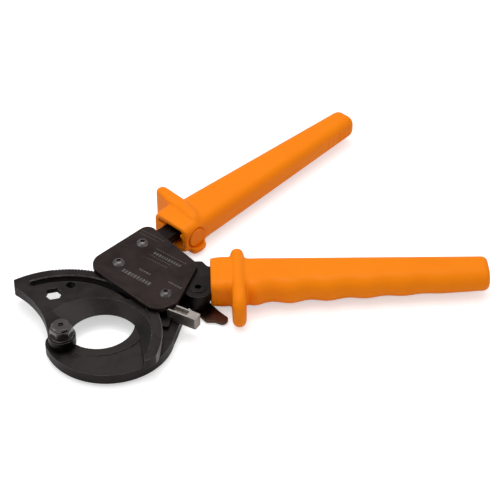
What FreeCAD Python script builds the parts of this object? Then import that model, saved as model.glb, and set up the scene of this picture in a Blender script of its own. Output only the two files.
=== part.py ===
import FreeCAD
import Part
import os
from math import atan2, cos, degrees, hypot, pi, radians, sin, sqrt

# Ratchet cable cutter, in millimetres.
# Frame: the origin is on the axis that the blade turns on, on the plane that the tool lies on.
# X runs along the lower handle, Z is up through the head, and the jaw opens away from the handles.

# ---- driving dimensions -------------------------------------------------------------------------

# stack of the head, from the resting plane up
BOLT_HEAD_T = 2.3
JAW_T = 7.0
BLADE_T = 6.5
SIDE_GAP = 0.15
PLATE_T = 3.0
HALF_GAP = 0.12

# blade
TOOTH_R = 61.6
TOOTH_H = 0.8
TOOTH_PITCH_DEG = 1.95
BLADE_TIP_DEG = -18.5
BLADE_TAIL_DEG = 122.0
TAIL_EDGE = 7.2
TAIL_SIDE_R = 63.2
BLADE_EDGE_R = 22.2
BLADE_EDGE_CENTRE = (24.6, 1.7)
BLADE_FRONT_TOP = (47.4, 0.4)
BLADE_FRONT_LOW = (50.6, -25.4)
BLADE_BEVEL_R = 36.4
BLADE_BEVEL_CENTRE = (19.0, -3.4)
BLADE_BOSS_R = 8.6
SLOT_R = (50.0, 55.2)
SLOT_DEG = (40.0, 112.5)
SLOT_STEP_W = 0.6
SLOT_STEP_T = 0.35
RIM_GROOVE_W = 0.9
RIM_GROOVE_T = 0.8
HEX_HOLE_CENTRE = (-6.8, 38.0)
HEX_HOLE_AF = 10.0
ROUND_HOLE_CENTRE = (3.7, 45.9)
ROUND_HOLE_R = 3.2
WEB_T = 3.6

# fixed jaw
JAW_OUTER_CENTRE = (28.4, 10.6)
JAW_OUTER_R = 40.8
JAW_EDGE_CENTRE = (21.7, 16.0)
JAW_EDGE_R = 22.5
JAW_BEVEL_CENTRE = (22.1, 18.0)
JAW_BEVEL_R = 30.5
RECESS_W = 0.8
RECESS_T = 0.7
JAW_BOSS_R = 10.6

# running fits: radial clearance, and the walls of the bushes
FIT = 0.05
BUSH_WALL = 1.4
HUB_BUSH_WALL = 1.0

# blade pivot
PIVOT_R = 5.0
PIVOT_HEAD_R = 8.0
THREAD_R = PIVOT_R - 1.0
WASHER_R = 8.0
WASHER_T = 1.0
NUT_AF = 12.6
NUT_T = 5.0
LOCK_SCREW_R = 5.8
LOCK_SCREW_T = 2.2
LOCK_SCREW_SHANK_R = 1.6
LOCK_SCREW_SOCKET_AF = 3.4

# cover plate and its screws
SCREW_1 = (33.9, 62.8)
SCREW_2 = (48.9, 81.6)
SCREW_3 = (63.8, 31.9)
SCREW_PLACES = (SCREW_1, SCREW_2, SCREW_3)
PLATE_CORNERS = (
    (12.4, 63.5, 12.0),
    (52.6, 101.9, 6.0),
    (84.8, 59.3, 7.0),
    (71.2, 22.9, 9.0),
    (56.8, 15.6, 10.0),
)
JAW_INSET = 1.2
PLATE_CHAMFER = 0.5
SCREW_R = 2.4
SCREW_HEAD_R = 4.2
SCREW_HEAD_T = 2.3
SCREW_SOCKET_AF = 3.0

# hub of the lower handle, its spring and its lock lever
HUB = (84.0, 40.4)
HUB_PIN_R = 4.0
SPRING_WIRE_R = 0.45
SPRING_R = HUB_PIN_R + FIT + HUB_BUSH_WALL + SPRING_WIRE_R + 0.7
SPRING_ROOM_R = SPRING_R + 2 * SPRING_WIRE_R
SPRING_LEG = 3.4
SPRING_LEG_R = SPRING_WIRE_R * 0.8
SPRING_FOOT_DEG = 250.0
LUG_R = SPRING_R + SPRING_WIRE_R + 0.75
PIN_HEAD_R = HUB_PIN_R + 1.4
PIN_HEAD_T = 0.4
PIN_HOLE_R = 2.1
PIN_NECK = 0.8
RING_R = HUB_PIN_R + 1.9
RETAINER_T = 0.6
EAR_R = 9.8
LOCK_HUB_R = HUB_PIN_R + 2.6
LOCK_LEVER_T = 1.9
LOCK_LEVER_Z = 0.8
LOCK_LEVER_L = 23.5
LOCK_LEVER_DEG = -43.0

# lower handle
HANDLE_AXIS_Y = 48.9
TANG_W = 22.6
TANG_BAR_W = 13.0
TANG_REACH = 110.0
STROKE_DEG = 24.0

# drive pawl
PAWL_PIN_ARM = 30.0
PAWL_PIN_DEG = 150.0
PAWL_PIN_R = 1.6
PAWL_HUB_R = 3.4
PAWL_ROOM_R = 7.6
NOSE_GAP = 0.35
PAWL_W = 4.4
PAWL_WIRE_R = 0.35

# holding pawl and release lever
HOLD_BUSH_WALL = 0.8
HOLD_BUSH_R = SCREW_R + HOLD_BUSH_WALL
HOLD_HUB_R = HOLD_BUSH_R + 2.1
HOLD_NOSE_DEG = 9.5
HOLD_WIRE_R = 0.4
HOLD_WIRE_LEG = 5.0
LEVER_ROOT = (67.2, 20.7)
LEVER_DEG = -32.0
LEVER_W = 6.4
LEVER_H = 8.2
LEVER_L = 19.2
LEVER_WALL = 1.1
LEVER_BRIDGE = 7.2
LEVER_FLOOR_T = 2.6
LEVER_TAIL_R = 2.4
LEVER_TO_PLATE = 0.7
RIVET_PLACES = (2.4, 5.4)
RIVET_R = 0.9
RIVET_HEAD_R = 1.4
RIVET_HEAD_T = 0.6

# grips
GRIP_T = 20.0
COLLAR_T = 19.0
COLLAR_W = 28.8
GUARD_T = 9.0
LOWER_MOUTH_X = HUB[0] + LUG_R + 0.6
LOWER_GUARD_X = LOWER_MOUTH_X + 17.5
LOWER_GRIP_L = 177.5
LOWER_CAP_L = 5.0
LOWER_END_X = LOWER_MOUTH_X + LOWER_GRIP_L
FINGER_PITCH = 24.2
FINGER_DEPTH = 2.8
FINGER_COUNT = 5
UPPER_DEG = 43.6
UPPER_MOUTH = 24.7
UPPER_GUARD = 39.5
UPPER_END = 198.5
ARM_W = 11.0
ARM_REACH = 128.0
FLANGE_LEAN = 8.0
LOBE_W = 13.0
LOBE_T = 8.0
MOUTH_DEPTH = 9.0
CAP_R = 6.6
CAP_T = 1.2
CAP_PROUD = 1.3
CAP_GROOVE = 0.5
CAP_BACK = 9.7
CAP_W = -0.6

# ---- derived heights ----------------------------------------------------------------------------

Z_JAW = BOLT_HEAD_T
Z_SHEAR = Z_JAW + JAW_T
Z_BLADE = Z_SHEAR + SIDE_GAP
Z_BLADE_TOP = Z_BLADE + BLADE_T
Z_PLATE = Z_BLADE_TOP + SIDE_GAP
Z_PLATE_TOP = Z_PLATE + PLATE_T
Z_MID = (Z_SHEAR + Z_PLATE) / 2
Z_HALF = Z_MID + 0.35
Z_HOLD_TOP = Z_HALF - 1.2
Z_NUT = Z_PLATE + WASHER_T
Z_NUT_TOP = Z_NUT + NUT_T
GUARD_HALF = Z_MID

# how far cutting shapes run past what they cut
PAST = 1.0
WIDE = 90.0


# ---- helpers ------------------------------------------------------------------------------------

def vec(x, y, z=0.0):
    return FreeCAD.Vector(x, y, z)


def polar(r, deg, centre=(0.0, 0.0)):
    return (centre[0] + r * cos(radians(deg)), centre[1] + r * sin(radians(deg)))


def cylinder(centre, r, z0, z1):
    return Part.makeCylinder(r, z1 - z0, vec(centre[0], centre[1], z0))


def ring(centre, r_in, r_out, z0, z1):
    return cylinder(centre, r_out, z0, z1).cut(cylinder(centre, r_in, z0 - PAST, z1 + PAST))


def prism(wire, z0, z1):
    """Solid between two heights over a wire drawn in the XY plane."""
    face = Part.Face(wire)
    face.translate(vec(0, 0, z0))
    return face.extrude(vec(0, 0, z1 - z0))


def rounded_wire(corners):
    """Closed wire through (x, y, radius) corners, each rounded by a tangent arc."""
    count = len(corners)
    edges = []
    starts, ends, mids = [], [], []
    for i in range(count):
        x, y, r = corners[i]
        here = vec(x, y)
        back = vec(*corners[i - 1][:2]) - here
        ahead = vec(*corners[(i + 1) % count][:2]) - here
        back.normalize()
        ahead.normalize()
        if r == 0:
            starts.append(here)
            ends.append(here)
            mids.append(None)
            continue
        half = back.getAngle(ahead) / 2
        reach = r / (sin(half) / cos(half))
        bisector = back + ahead
        bisector.normalize()
        centre = here + bisector * (r / sin(half))
        starts.append(here + back * reach)
        ends.append(here + ahead * reach)
        mids.append(centre - bisector * r)
    for i in range(count):
        if mids[i] is not None:
            edges.append(Part.Arc(starts[i], mids[i], ends[i]).toShape())
        following = starts[(i + 1) % count]
        if (following - ends[i]).Length > 1e-6:
            edges.append(Part.LineSegment(ends[i], following).toShape())
    return Part.Wire(edges)


def polygon(points):
    return Part.makePolygon([vec(*p) for p in points] + [vec(*points[0])])


def hexagon(centre, across_flats, turn=0.0):
    r = across_flats / sqrt(3)
    return polygon([polar(r, turn + 60 * i, centre) for i in range(6)])


def strip(a, b, r_a, r_b):
    """Wire round a bar from a to b whose ends are round."""
    length = hypot(b[0] - a[0], b[1] - a[1])
    ux, uy = (b[0] - a[0]) / length, (b[1] - a[1]) / length

    def at(along, across):
        return vec(a[0] + ux * along - uy * across, a[1] + uy * along + ux * across)

    return Part.Wire([
        Part.LineSegment(at(0, -r_a), at(length, -r_b)).toShape(),
        Part.Arc(at(length, -r_b), at(length + r_b, 0), at(length, r_b)).toShape(),
        Part.LineSegment(at(length, r_b), at(0, r_a)).toShape(),
        Part.Arc(at(0, r_a), at(-r_a, 0), at(0, -r_a)).toShape(),
    ])


def sector(centre, deg0, deg1, r=WIDE):
    """Pie-shaped wire from deg0 counterclockwise to deg1."""
    c = vec(*centre)
    a = vec(*polar(r, deg0, centre))
    m = vec(*polar(r, (deg0 + deg1) / 2, centre))
    b = vec(*polar(r, deg1, centre))
    return Part.Wire([Part.LineSegment(c, a).toShape(), Part.Arc(a, m, b).toShape(),
                      Part.LineSegment(b, c).toShape()])


def arc_slot(r_in, r_out, deg0, deg1):
    """Slot round the origin with round ends."""
    mid_r = (r_in + r_out) / 2
    half = (r_out - r_in) / 2
    turn = degrees(half / mid_r)

    def p(r, deg):
        return vec(*polar(r, deg))

    return Part.Wire([
        Part.Arc(p(r_out, deg0), p(r_out, (deg0 + deg1) / 2), p(r_out, deg1)).toShape(),
        Part.Arc(p(r_out, deg1), p(mid_r, deg1 + turn), p(r_in, deg1)).toShape(),
        Part.Arc(p(r_in, deg1), p(r_in, (deg0 + deg1) / 2), p(r_in, deg0)).toShape(),
        Part.Arc(p(r_in, deg0), p(mid_r, deg0 - turn), p(r_out, deg0)).toShape(),
    ])


def section(u, v_low, v_high, thickness, r_high, r_low=None):
    """Rounded rectangle across a handle at distance u along it; the low side may be rounder."""
    half = thickness / 2
    most = min(half, (v_high - v_low) / 2) - 0.05
    a, b = min(r_low or r_high, most), min(r_high, most)
    ka, kb = a * (1 - sqrt(0.5)), b * (1 - sqrt(0.5))

    def p(v, w):
        return vec(u, v, w)

    corners = [
        ((v_low + a, -half), (v_low + ka, -half + ka), (v_low, -half + a)),
        ((v_low, half - a), (v_low + ka, half - ka), (v_low + a, half)),
        ((v_high - b, half), (v_high - kb, half - kb), (v_high, half - b)),
        ((v_high, -half + b), (v_high - kb, -half + kb), (v_high - b, -half)),
    ]
    edges = []
    for i, (start, mid, end) in enumerate(corners):
        following = corners[(i + 1) % 4][0]
        edges.append(Part.Arc(p(*start), p(*mid), p(*end)).toShape())
        edges.append(Part.LineSegment(p(*end), p(*following)).toShape())
    return Part.Wire(edges)


def loft(sections):
    return Part.makeLoft(sections, True, False)


def rounded_disc(u, v_low, v_high, thickness, r, width, rim=None):
    """Flange across a handle; its rim is full-round, or round over the rim radius given."""
    rim = rim or width / 2
    flat = width / 2 - rim
    stations = [(-flat, deg) for deg in (-80, -60, -35, 0)] + [(flat, deg) for deg in (0, 35, 60, 80)]
    if flat == 0:
        stations.remove((0, 0))
    sections = []
    for offset, deg in stations:
        inset = rim * (1 - cos(radians(deg)))
        sections.append(section(u + offset + rim * sin(radians(deg)), v_low + inset, v_high - inset,
                                thickness - 2 * inset, r - inset))
    return loft(sections)


def to_handle(shape, origin, turn_deg):
    """Moves a shape made along u to its handle's place."""
    shape.Placement = FreeCAD.Placement(vec(origin[0], origin[1], Z_MID),
                                        FreeCAD.Rotation(vec(0, 0, 1), turn_deg))
    return shape


# ---- head ---------------------------------------------------------------------------------------

def plate_corners(inset=0.0):
    """Corners of the cover plate; a positive inset pulls the outline in for what lies under it."""
    cx = sum(corner[0] for corner in PLATE_CORNERS) / len(PLATE_CORNERS)
    cy = sum(corner[1] for corner in PLATE_CORNERS) / len(PLATE_CORNERS)
    result = []
    for x, y, r in PLATE_CORNERS:
        reach = hypot(x - cx, y - cy)
        k = (reach - inset * 1.3) / reach
        result.append((cx + (x - cx) * k, cy + (y - cy) * k, max(r - inset, 1.0)))
    return result


def fixed_jaw():
    outer = cylinder(JAW_OUTER_CENTRE, JAW_OUTER_R, Z_JAW, Z_SHEAR)
    pivot_side = degrees(atan2(-JAW_EDGE_CENTRE[1], -JAW_EDGE_CENTRE[0])) + 360
    mouth = prism(sector(JAW_EDGE_CENTRE, 40.0, pivot_side - 4.0), Z_JAW - PAST, Z_SHEAR + PAST)
    hook = outer.cut(mouth)
    boss = cylinder((0, 0), JAW_BOSS_R, Z_JAW, Z_SHEAR)
    frame = prism(rounded_wire(plate_corners(JAW_INSET)), Z_JAW, Z_SHEAR)
    side = prism(rounded_wire([
        (44.0, 22.0, 0), (60.0, -14.0, 0), (69.0, 3.8, 40.0), (77.2, 33.2, 6.0), (83.0, 52.0, 6.0),
        (70.0, 66.0, 2.0), (50.0, 60.0, 0)]), Z_JAW, Z_SHEAR)
    lug = cylinder(HUB, LUG_R, Z_JAW, Z_SHEAR)
    jaw = hook.fuse([boss, frame, side, lug])
    edge_hole = cylinder(JAW_EDGE_CENTRE, JAW_EDGE_R, Z_JAW - PAST, Z_SHEAR + PAST)
    jaw = jaw.cut(edge_hole)
    bevel = bevel_cutter(JAW_EDGE_CENTRE, JAW_EDGE_R + 0.1, JAW_BEVEL_CENTRE, JAW_BEVEL_R, Z_JAW, Z_SHEAR)
    reach = prism(sector(JAW_EDGE_CENTRE, pivot_side + 24.0, 356.0), Z_JAW - PAST, Z_SHEAR + PAST)
    jaw = jaw.cut(bevel.common(reach))
    recess = ring(JAW_BEVEL_CENTRE, JAW_BEVEL_R, JAW_BEVEL_R + RECESS_W, Z_SHEAR - RECESS_T, Z_SHEAR + PAST)
    jaw = jaw.cut(recess.common(reach))
    jaw = jaw.cut(cylinder((0, 0), PIVOT_R, Z_JAW - PAST, Z_SHEAR + PAST))
    for screw in SCREW_PLACES:
        jaw = jaw.cut(cylinder(screw, SCREW_R, Z_JAW + 1.0, Z_SHEAR + PAST))
    jaw = jaw.cut(cylinder(HUB, HUB_PIN_R, Z_JAW - PAST, Z_SHEAR + PAST))
    jaw = jaw.cut(cylinder(spring_foot(), SPRING_LEG_R, Z_SHEAR - SPRING_LEG, Z_SHEAR + PAST))
    lever_room = cylinder(HUB, EAR_R + 2.2, Z_JAW - PAST, LOCK_LEVER_Z + LOCK_LEVER_T + SIDE_GAP)
    return jaw.cut(lever_room)


def cover_plate():
    plate = prism(rounded_wire(plate_corners()), Z_PLATE, Z_PLATE_TOP)
    rim = [e for e in plate.Edges if abs(e.CenterOfMass.z - Z_PLATE_TOP) < 1e-6]
    plate = plate.makeChamfer(PLATE_CHAMFER, rim)
    for screw in SCREW_PLACES:
        plate = plate.cut(cylinder(screw, SCREW_R, Z_PLATE - PAST, Z_PLATE_TOP + PAST))
    return plate.cut(cylinder(HUB, PIN_HEAD_R + SIDE_GAP, Z_PLATE - PAST, Z_PLATE_TOP + PAST))


def button_screw(centre):
    """Button-head screw with a hexagon socket."""
    shank = cylinder(centre, SCREW_R, Z_JAW + 1.0, Z_PLATE_TOP)
    cap_r = (SCREW_HEAD_R ** 2 + SCREW_HEAD_T ** 2) / (2 * SCREW_HEAD_T)
    ball = Part.makeSphere(cap_r, vec(centre[0], centre[1], Z_PLATE_TOP + SCREW_HEAD_T - cap_r))
    head = ball.common(cylinder(centre, SCREW_HEAD_R, Z_PLATE_TOP, Z_PLATE_TOP + SCREW_HEAD_T * 0.93))
    socket = prism(hexagon(centre, SCREW_SOCKET_AF), Z_PLATE_TOP + 0.6, Z_PLATE_TOP + 5)
    return shank.fuse(head).cut(socket).removeSplitter()


def cover_screws():
    return Part.makeCompound([button_screw(c) for c in SCREW_PLACES])


# ---- blade and its pivot ------------------------------------------------------------------------

def blade_outline():
    tip = vec(*polar(TOOTH_R, BLADE_TIP_DEG))
    top = vec(*polar(TOOTH_R, (BLADE_TIP_DEG + BLADE_TAIL_DEG) / 2))
    tail = vec(*polar(TOOTH_R, BLADE_TAIL_DEG))
    tail_low = tail + vec(0.9, -TAIL_EDGE)
    boss_left = vec(*polar(BLADE_BOSS_R, 178.0))
    # the tail's hollow side runs from its short end to the left of the boss
    chord = boss_left - tail_low
    middle = (tail_low + boss_left) * 0.5
    sag = TAIL_SIDE_R - sqrt(TAIL_SIDE_R ** 2 - (chord.Length / 2) ** 2)
    side = vec(-chord.y, chord.x)
    side.normalize()
    boss_bottom = vec(*polar(BLADE_BOSS_R, 270.0))
    boss_low_left = vec(*polar(BLADE_BOSS_R, 225.0))
    corner = vec(*BLADE_FRONT_TOP)
    front = vec(*BLADE_FRONT_LOW)
    inner = vec(BLADE_EDGE_CENTRE[0], BLADE_EDGE_CENTRE[1] + BLADE_EDGE_R)
    low = vec(*polar(BLADE_EDGE_R, 184.0, BLADE_EDGE_CENTRE))
    # the tip is rounded off between the front and the toothed edge
    nose = (tip + front) * 0.5 + vec(0.45, -0.9)
    return Part.Wire([
        Part.Arc(tip, top, tail).toShape(),
        Part.LineSegment(tail, tail_low).toShape(),
        Part.Arc(tail_low, middle + side * sag, boss_left).toShape(),
        Part.Arc(boss_left, boss_low_left, boss_bottom).toShape(),
        Part.LineSegment(boss_bottom, low).toShape(),
        Part.Arc(low, inner, corner).toShape(),
        Part.LineSegment(corner, front).toShape(),
        Part.Arc(front, nose, tip).toShape(),
    ])


def circle_wire(centre, r, z):
    return Part.Wire(Part.makeCircle(r, vec(centre[0], centre[1], z)))


def bevel_cutter(top_centre, top_r, edge_centre, edge_r, z_edge, z_top):
    """Leaning cone that grinds the bevel between the edge circle and the top circle."""
    lower, upper = circle_wire(edge_centre, edge_r, z_edge), circle_wire(top_centre, top_r, z_top)
    return Part.makeLoft([lower, upper], True, True)


def tooth_gap(deg):
    """Ratchet tooth space: steep on the driven side, sloping on the other."""
    outside = TOOTH_R + PAST
    wire = polygon([polar(outside, deg - 0.15), polar(TOOTH_R - TOOTH_H, deg),
                    polar(outside, deg + TOOTH_PITCH_DEG * 0.95)])
    return prism(wire, Z_BLADE - PAST, Z_BLADE_TOP + PAST)


def moving_blade():
    blade = prism(blade_outline(), Z_BLADE, Z_BLADE_TOP)
    boss = cylinder((0, 0), BLADE_BOSS_R, Z_BLADE, Z_BLADE_TOP)
    web = ring((0, 0), 24.0, SLOT_R[0] - 2.4, Z_BLADE - PAST, Z_BLADE_TOP - WEB_T)
    keep = prism(sector((0, 0), 82.0, 112.0), Z_BLADE - PAST, Z_BLADE_TOP)
    blade = blade.cut(web.common(keep))
    bevel = bevel_cutter(BLADE_BEVEL_CENTRE, BLADE_BEVEL_R, BLADE_EDGE_CENTRE, BLADE_EDGE_R - 0.1,
                         Z_BLADE, Z_BLADE_TOP)
    ground = prism(sector(BLADE_BEVEL_CENTRE, -80.0, 136.0), Z_BLADE - PAST, Z_BLADE_TOP + PAST)
    blade = blade.cut(bevel.common(ground)).fuse(boss)
    blade = blade.cut(prism(arc_slot(*SLOT_R, *SLOT_DEG), Z_BLADE - PAST, Z_BLADE_TOP + PAST))
    step = arc_slot(SLOT_R[0] - SLOT_STEP_W, SLOT_R[1] + SLOT_STEP_W, *SLOT_DEG)
    blade = blade.cut(prism(step, Z_BLADE_TOP - SLOT_STEP_T, Z_BLADE_TOP + PAST))
    blade = blade.cut(prism(hexagon(HEX_HOLE_CENTRE, HEX_HOLE_AF, 12.0), Z_BLADE - PAST, Z_BLADE_TOP + PAST))
    blade = blade.cut(cylinder(ROUND_HOLE_CENTRE, ROUND_HOLE_R, Z_BLADE - PAST, Z_BLADE_TOP + PAST))
    groove_r = SLOT_R[1] + 0.4
    groove = ring((0, 0), groove_r - RIM_GROOVE_W, groove_r, Z_BLADE_TOP - RIM_GROOVE_T, Z_BLADE_TOP + PAST)
    low_arc = prism(sector((0, 0), BLADE_TIP_DEG - 4, SLOT_DEG[0] - 4), Z_BLADE, Z_BLADE_TOP + PAST)
    blade = blade.cut(groove.common(low_arc))
    blade = blade.cut(cylinder((0, 0), PIVOT_R + FIT + BUSH_WALL, Z_BLADE - PAST, Z_BLADE_TOP + PAST))
    count = int((BLADE_TAIL_DEG - 24.0 - BLADE_TIP_DEG) / TOOTH_PITCH_DEG)
    gaps = [tooth_gap(BLADE_TIP_DEG + 2.0 + i * TOOTH_PITCH_DEG) for i in range(count)]
    return blade.cut(Part.makeCompound(gaps))


def blade_bush():
    return ring((0, 0), PIVOT_R + FIT, PIVOT_R + FIT + BUSH_WALL, Z_BLADE, Z_BLADE_TOP)


def pivot_bolt():
    """Flat-headed bolt with a threaded end that takes the nut and the lock screw."""
    head = cylinder((0, 0), PIVOT_HEAD_R, 0, BOLT_HEAD_T)
    shank = cylinder((0, 0), PIVOT_R, 0, Z_PLATE)
    end = cylinder((0, 0), THREAD_R, 0, Z_NUT_TOP)
    rim = [e for e in head.Edges if abs(e.CenterOfMass.z) < 1e-6 and len(e.Vertexes) == 1]
    head = head.makeChamfer(0.5, rim)
    bore = cylinder((0, 0), LOCK_SCREW_SHANK_R, Z_PLATE, Z_NUT_TOP + PAST)
    return head.fuse([shank, end]).cut(bore)


def pivot_washer():
    return ring((0, 0), THREAD_R, WASHER_R, Z_PLATE, Z_NUT)


def pivot_nut():
    """Hexagon nut whose upper corners are turned off on a cone."""
    body = prism(hexagon((0, 0), NUT_AF, 8.0), Z_NUT, Z_NUT_TOP)
    tall = NUT_T + 6.0
    turned = Part.makeCone(NUT_AF / 2 + tall * 1.3, NUT_AF / 2 - 0.2, tall, vec(0, 0, Z_NUT_TOP - tall))
    return body.common(turned).cut(cylinder((0, 0), THREAD_R, Z_NUT - PAST, Z_NUT_TOP + PAST))


def lock_screw():
    """Low-headed screw that keeps the nut from turning."""
    top = Z_NUT_TOP + LOCK_SCREW_T
    head = cylinder((0, 0), LOCK_SCREW_R, Z_NUT_TOP, top)
    rim = [e for e in head.Edges if abs(e.CenterOfMass.z - top) < 1e-6 and len(e.Vertexes) == 1]
    head = head.makeChamfer(0.6, rim)
    shank = cylinder((0, 0), LOCK_SCREW_SHANK_R, Z_NUT + 0.5, Z_NUT_TOP)
    socket = prism(hexagon((0, 0), LOCK_SCREW_SOCKET_AF, 15.0), Z_NUT_TOP + 0.7, top + PAST)
    return head.fuse(shank).cut(socket)


# ---- upper, fixed handle ------------------------------------------------------------------------

def upper_point(u, v=0.0):
    c, s = cos(radians(UPPER_DEG)), sin(radians(UPPER_DEG))
    return (SCREW_2[0] + u * c - v * s, SCREW_2[1] + u * s + v * c)


def fixed_arm():
    """Steel bar clamped by two of the cover screws and running into the upper grip."""
    root = prism(strip(SCREW_1, SCREW_2, ARM_W / 2, ARM_W / 2), Z_SHEAR, Z_PLATE)
    bar = prism(strip(SCREW_2, upper_point(ARM_REACH), ARM_W / 2, ARM_W / 2), Z_SHEAR, Z_PLATE)
    arm = root.fuse(bar).removeSplitter()
    for screw in (SCREW_1, SCREW_2):
        arm = arm.cut(cylinder(screw, SCREW_R, Z_SHEAR - PAST, Z_PLATE + PAST))
    return arm


def fixed_grip():
    half = COLLAR_W / 2
    collar = loft([section(UPPER_MOUTH, -half, half, COLLAR_T, 4.0),
                   section(UPPER_MOUTH + 1.0, -half - 0.3, half + 0.3, COLLAR_T + 0.4, 4.4),
                   section(UPPER_GUARD + 4.0, -half - 0.3, half + 0.3, COLLAR_T + 0.4, 5.0)])
    # the flange leans: its thumb side stands further from the head than its finger side
    flange = rounded_disc(0, -half - 0.6, half + 2.0, 2 * GUARD_HALF, 8.0, GUARD_T)
    flange.Placement = FreeCAD.Placement(vec(UPPER_GUARD, 0), FreeCAD.Rotation(vec(0, 0, 1), -FLANGE_LEAN))
    lobe = rounded_disc(UPPER_GUARD - 4.6, -half - 4.4, -half + 8.0, LOBE_T, 3.9, LOBE_W, 3.6)
    lobe.translate(vec(0, 0, LOBE_T / 2 - GUARD_HALF + 0.4))
    horn_half = GUARD_HALF - 0.4
    horn = prism(rounded_wire([
        (UPPER_GUARD - 3.4, -9.0, 2.6), (UPPER_GUARD - 2.4, half + 1.0, 5.0), (UPPER_GUARD + 1.4, 31.3, 2.4),
        (UPPER_GUARD + 8.5, 30.0, 3.2), (UPPER_GUARD + 7.6, 10.0, 14.0), (UPPER_GUARD + 3.2, -9.0, 2.6)]),
        -horn_half, horn_half)
    rims = [e for e in horn.Edges if abs(abs(e.CenterOfMass.z) - horn_half) < 1e-6]
    horn = horn.makeFillet(2.2, rims)
    start, end = UPPER_GUARD + 1.0, UPPER_END - 6.0
    stations = []
    for i in range(5):
        k = i / 4
        stations.append(section(start + (end - start) * k, -half - 0.8 + 6.6 * k, half + 0.5 - 5.5 * k,
                                GRIP_T - 0.4 - 3.0 * k, 6.6 - 0.6 * k))
    body = loft(stations)
    cap = loft([section(UPPER_END - back, -half + 5.8 + inset, half - 5.0 - inset,
                        GRIP_T - 3.4 - 2 * inset, 6.0 - inset)
                for back, inset in ((6.0, 0.0), (3.6, 0.1), (1.4, 0.9), (0.0, 2.6))])
    grip = collar.fuse([flange, lobe, horn, body, cap])
    # the mouth is a wide slit over a narrower hollow that widens again under a ledge
    for v_low, v_high, w_low, w_high in ((-11.0, 11.0, 3.6, 6.2), (-8.5, 5.9, -6.2, 6.2),
                                         (-11.0, 5.9, -6.2, 1.0)):
        hollow = loft([section(u, v_low, v_high, w_high - w_low, 0.9)
                       for u in (UPPER_MOUTH - 1, UPPER_MOUTH + MOUTH_DEPTH)])
        hollow.translate(vec(0, 0, (w_low + w_high) / 2))
        grip = grip.cut(hollow)
    seat = cap_body(CAP_R + CAP_GROOVE, CAP_T + 3 * CAP_PROUD, 3 * CAP_PROUD)
    grip = to_handle(grip.cut(seat), SCREW_2, UPPER_DEG)
    return grip.cut(fixed_arm())


def cap_body(r, length, proud):
    """Cylinder across the collar's finger side, standing proud of it."""
    place = vec(UPPER_MOUTH + CAP_BACK, -COLLAR_W / 2 - proud, CAP_W)
    return Part.makeCylinder(r, length, place, vec(0, 1, 0))


def grip_cap():
    return to_handle(cap_body(CAP_R, CAP_T + CAP_PROUD, CAP_PROUD), SCREW_2, UPPER_DEG)


# ---- lower, moving handle -----------------------------------------------------------------------

def hub_polar(r, deg):
    return polar(r, deg, HUB)


def pawl_pin_place():
    return hub_polar(PAWL_PIN_ARM, PAWL_PIN_DEG)


def nose_place():
    """Nose of the drive pawl: nearest to the teeth when the stroke is half done."""
    hub_r = hypot(*HUB)
    to_pivot = degrees(atan2(HUB[1], HUB[0])) + 180
    return hub_polar(hub_r - TOOTH_R - NOSE_GAP, to_pivot - STROKE_DEG / 2)


def handle_tang():
    """Steel tang: ear round the hub, arm to the drive pawl and bar into the grip."""
    ear = cylinder(HUB, EAR_R, Z_BLADE, Z_BLADE_TOP)
    y0, y1 = HANDLE_AXIS_Y - TANG_W / 2, HANDLE_AXIS_Y + TANG_W / 2
    bar_end = LOWER_MOUTH_X + TANG_REACH
    neck0, neck1 = LOWER_GUARD_X + 2.0, LOWER_GUARD_X + 16.0
    low, high = HANDLE_AXIS_Y - TANG_BAR_W / 2, HANDLE_AXIS_Y + TANG_BAR_W / 2
    bar = prism(rounded_wire([(78.0, y0, 2.0), (neck0, y0, 6.0), (neck1, low, 6.0), (bar_end, low, 4.0),
                              (bar_end, high, 4.0), (neck1, high, 6.0), (neck0, y1, 6.0), (90.5, y1, 3.0),
                              (87.0, y1 + 5.4, 2.0), (80.6, y1 + 5.6, 2.0), (73.0, y0 + 12.0, 6.0)]),
                Z_BLADE, Z_BLADE_TOP)
    c, s = cos(radians(PAWL_PIN_DEG)), sin(radians(PAWL_PIN_DEG))

    def local(u, v):
        return (HUB[0] + u * c + v * s, HUB[1] + u * s - v * c)

    # v is positive on the side away from the holding pawl's screw
    arm = prism(rounded_wire([local(0, -4.0) + (0,), local(14.0, -1.8) + (2.0,),
                              local(PAWL_PIN_ARM, -1.8) + (0,), local(PAWL_PIN_ARM, 3.4) + (0,),
                              local(16.0, 9.0) + (8.0,), local(0, 14.0) + (0,)]), Z_BLADE, Z_BLADE_TOP)
    pin = pawl_pin_place()
    boss = cylinder(pin, PAWL_HUB_R, Z_BLADE, Z_BLADE_TOP)
    tang = ear.fuse([bar, arm, boss]).removeSplitter()
    tang = tang.cut(cylinder(HUB, HUB_PIN_R + FIT + HUB_BUSH_WALL, Z_BLADE - PAST, Z_BLADE_TOP + PAST))
    room = cylinder(pin, PAWL_ROOM_R, Z_HALF, Z_BLADE_TOP + PAST)
    tang = tang.cut(room)
    tang = tang.cut(cylinder(pin, PAWL_PIN_R, Z_BLADE - PAST, Z_BLADE_TOP + PAST))
    spring_room = cylinder(HUB, SPRING_ROOM_R, Z_BLADE - PAST, Z_BLADE + 4 * SPRING_WIRE_R)
    return tang.cut(spring_room)


def finger_wave(x):
    """How far the finger side of the lower grip stands in at x; the waves die out to the end."""
    start = LOWER_GUARD_X + 9.0
    along = (x - start) / FINGER_PITCH
    if along < 0 or along > FINGER_COUNT:
        return 0.0
    return FINGER_DEPTH * (1 - 0.14 * along) * (1 - cos(2 * pi * along)) / 2


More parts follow.
